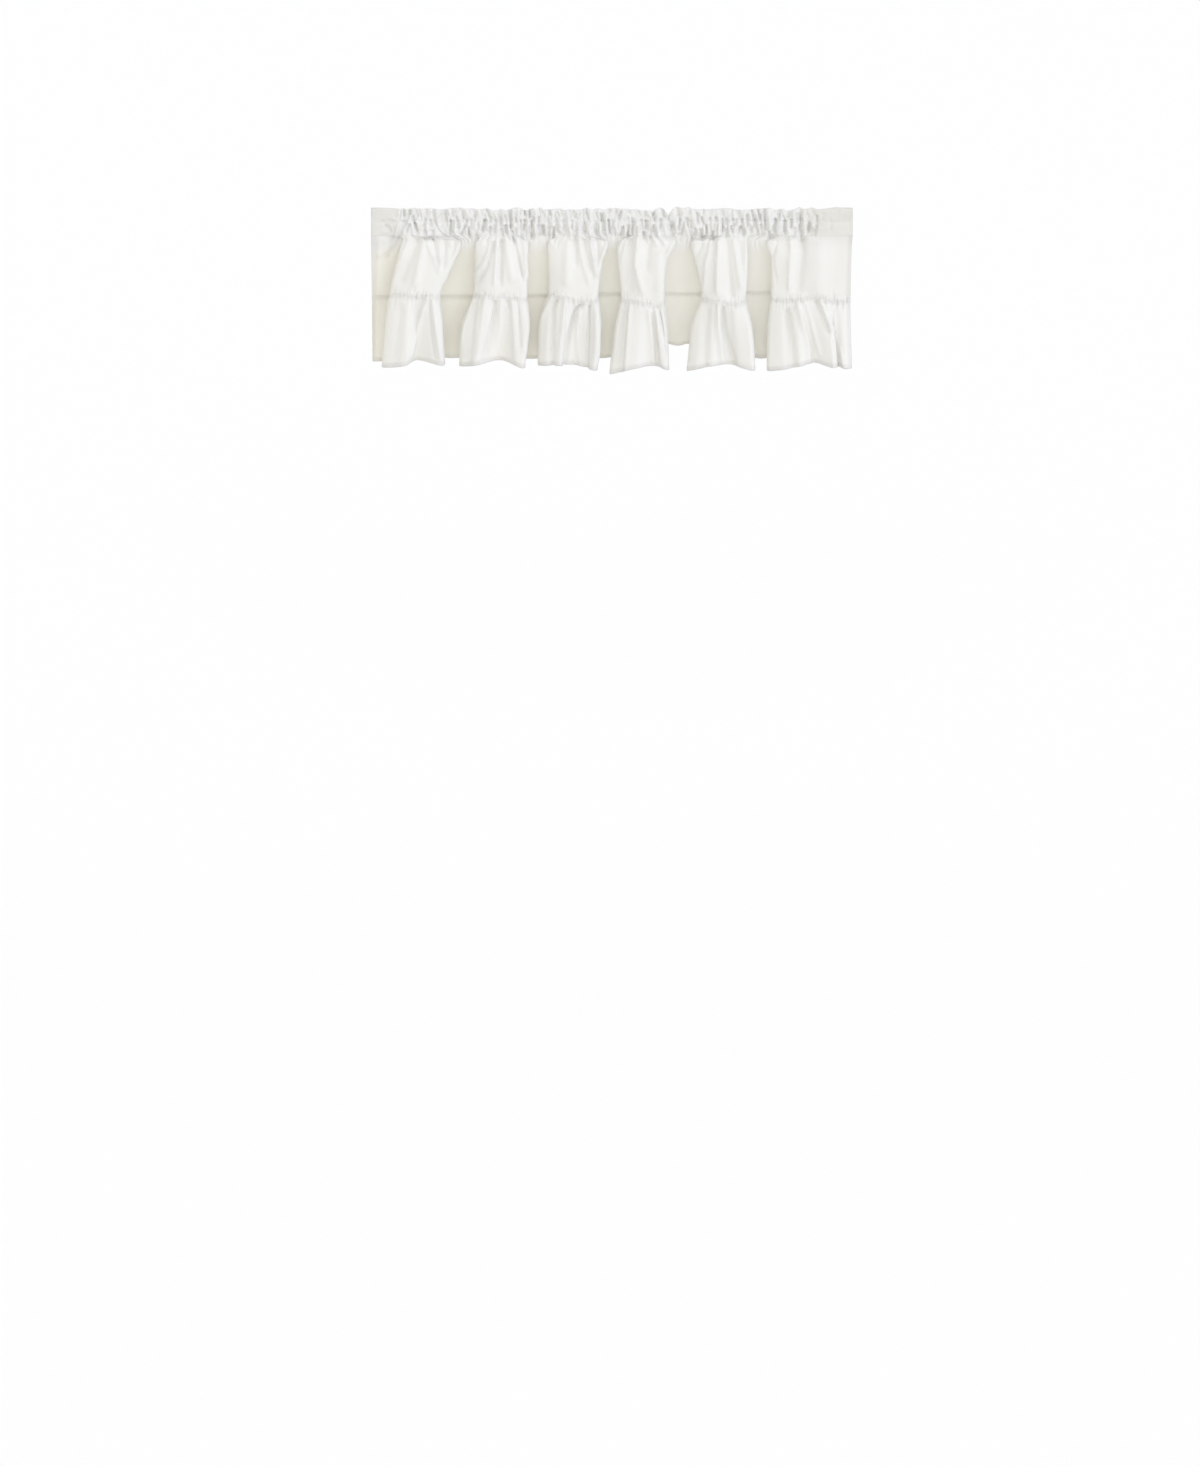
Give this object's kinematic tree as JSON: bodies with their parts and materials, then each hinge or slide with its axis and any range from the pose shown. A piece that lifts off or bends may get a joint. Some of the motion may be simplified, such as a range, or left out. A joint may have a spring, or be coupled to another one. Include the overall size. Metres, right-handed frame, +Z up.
{
  "type": "window valance",
  "caption": "Ruffled off-white window valance hanging gathered from its rod pocket, with a standing header above the rod and a gathered, hemmed lower tier.",
  "frame": {"origin": "middle of the top edge of the header, over the line of the rod", "axes": "+X to the right along the rod, seen from the room; -Y towards the room, which is the front; +Z up"},
  "size_m": [1.0067, 0.0702, 0.3533],
  "materials": {
    "valance_cloth": "matt plain-weave cotton blend, off-white"
  },
  "bodies": {
    "root": {"heading": "valance_cloth", "upper_cloth": "valance_cloth", "ruffle": "valance_cloth"}
  },
  "joints": []
}
